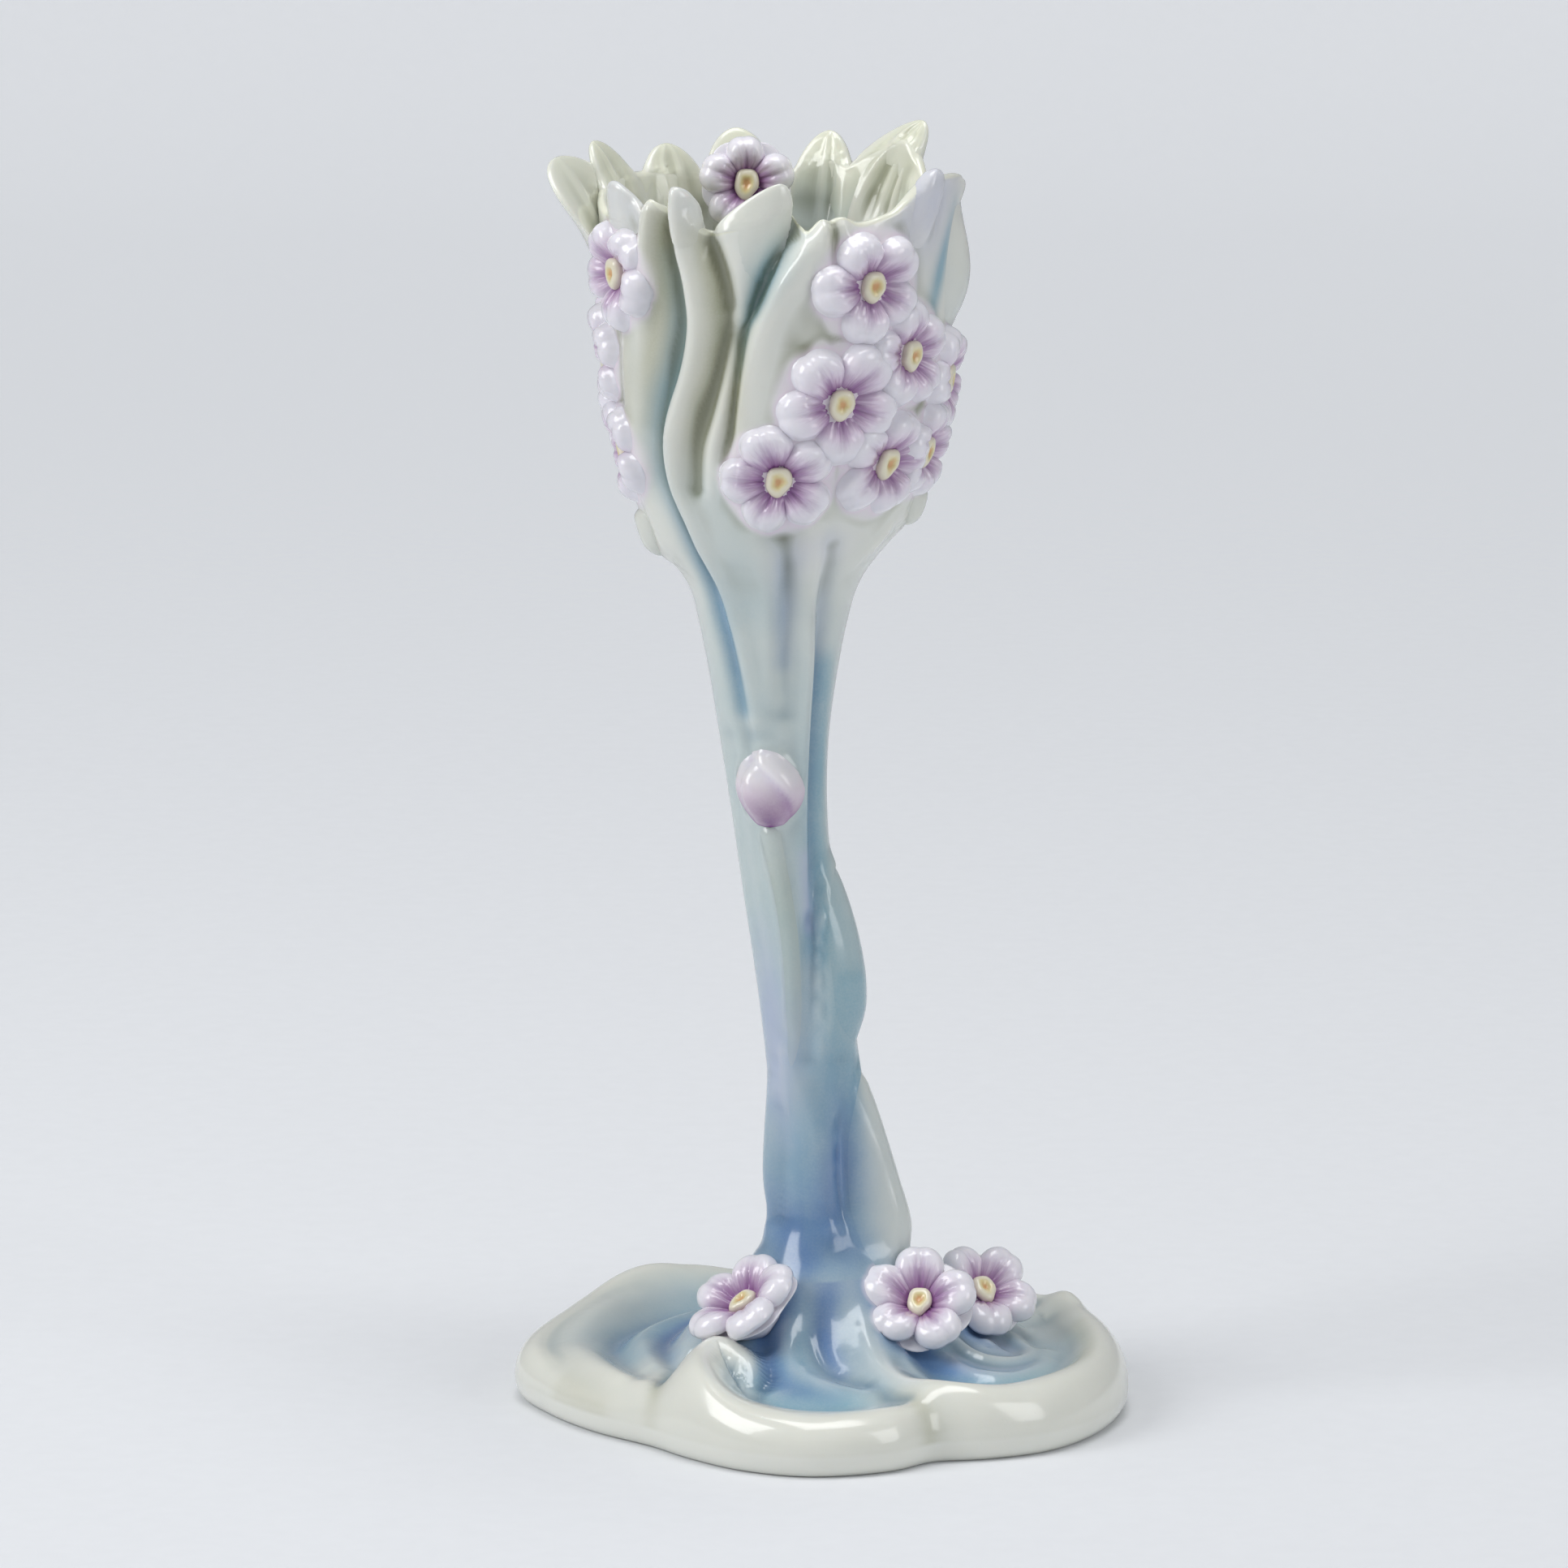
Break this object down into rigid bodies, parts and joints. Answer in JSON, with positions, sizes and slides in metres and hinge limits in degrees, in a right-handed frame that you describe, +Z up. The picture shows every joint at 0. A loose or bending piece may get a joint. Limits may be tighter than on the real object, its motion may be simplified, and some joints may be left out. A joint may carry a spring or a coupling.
{
  "type": "candle holder",
  "caption": "Sculpted porcelain candle holder: a leafy tulip cup with applied primroses on a leaning stem and a lobed base of curling waves.",
  "frame": {"origin": "on the table, under the middle of the base's box", "axes": "+Z up, front of the object towards -Y"},
  "size_m": [0.1046, 0.1017, 0.2171],
  "materials": {
    "ivory_glaze": "clear glaze over ivory, shaded with green and teal",
    "blue_glaze": "clear glaze over airbrushed blue",
    "lilac_glaze": "clear glaze over lilac with purple throats",
    "yellow_glaze": "clear glaze over pale yellow"
  },
  "bodies": {
    "root": {"base": "blue_glaze", "bud": "lilac_glaze", "bud_stalk": "blue_glaze", "centre_base_far": "yellow_glaze", "centre_base_left": "yellow_glaze", "centre_base_right": "yellow_glaze", "centre_inner": "yellow_glaze", "centre_left_low": "yellow_glaze", "centre_left_lower": "yellow_glaze", "centre_left_middle": "yellow_glaze", "centre_left_side": "yellow_glaze", "centre_left_top": "yellow_glaze", "centre_right_large": "yellow_glaze", "centre_right_low": "yellow_glaze", "centre_right_lower": "yellow_glaze", "centre_right_middle": "yellow_glaze", "centre_right_side": "yellow_glaze", "centre_right_side_low": "yellow_glaze", "centre_right_top": "yellow_glaze", "cup": "ivory_glaze", "leaf_back_left": "ivory_glaze", "leaf_back_middle": "ivory_glaze", "leaf_back_right": "ivory_glaze", "leaf_front_finger": "ivory_glaze", "leaf_front_middle": "ivory_glaze", "leaf_left_back": "ivory_glaze", "leaf_left_front": "ivory_glaze", "leaf_left_spoon": "ivory_glaze", "leaf_right_finger": "ivory_glaze", "leaf_right_large": "ivory_glaze", "leaf_tall_right": "ivory_glaze", "lip_left": "ivory_glaze", "lip_right": "ivory_glaze", "primrose_base_far": "lilac_glaze", "primrose_base_left": "lilac_glaze", "primrose_base_right": "lilac_glaze", "primrose_inner": "lilac_glaze", "primrose_left_low": "lilac_glaze", "primrose_left_lower": "lilac_glaze", "primrose_left_middle": "lilac_glaze", "primrose_left_side": "lilac_glaze", "primrose_left_top": "lilac_glaze", "primrose_right_large": "lilac_glaze", "primrose_right_low": "lilac_glaze", "primrose_right_lower": "lilac_glaze", "primrose_right_middle": "lilac_glaze", "primrose_right_side": "lilac_glaze", "primrose_right_side_low": "lilac_glaze", "primrose_right_top": "lilac_glaze", "root_leaf": "blue_glaze", "stem": "blue_glaze", "stem_leaf": "blue_glaze"}
  },
  "joints": []
}
